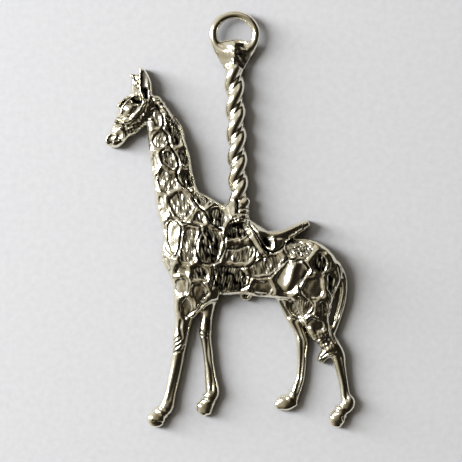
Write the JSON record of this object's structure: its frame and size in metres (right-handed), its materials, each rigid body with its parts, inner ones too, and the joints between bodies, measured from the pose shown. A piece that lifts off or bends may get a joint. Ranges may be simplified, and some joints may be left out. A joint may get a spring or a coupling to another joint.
{
  "type": "carousel giraffe pendant",
  "caption": "Flat-backed cast pendant: a standing carousel giraffe with a patched hide, saddle and twisted pole, capped by a cone and a ring.",
  "frame": {"origin": "middle of the bounding box in X and Y, on the flat back (Z = 0)", "axes": "+Y from the hooves to the ring, +X from the head towards the tail, +Z out of the carved face"},
  "size_m": [0.0458, 0.0762, 0.0054],
  "materials": {
    "silver_metal": "polished cast white metal, darkened in the hollows"
  },
  "bodies": {
    "root": {"giraffe_pendant": "silver_metal"}
  },
  "joints": []
}
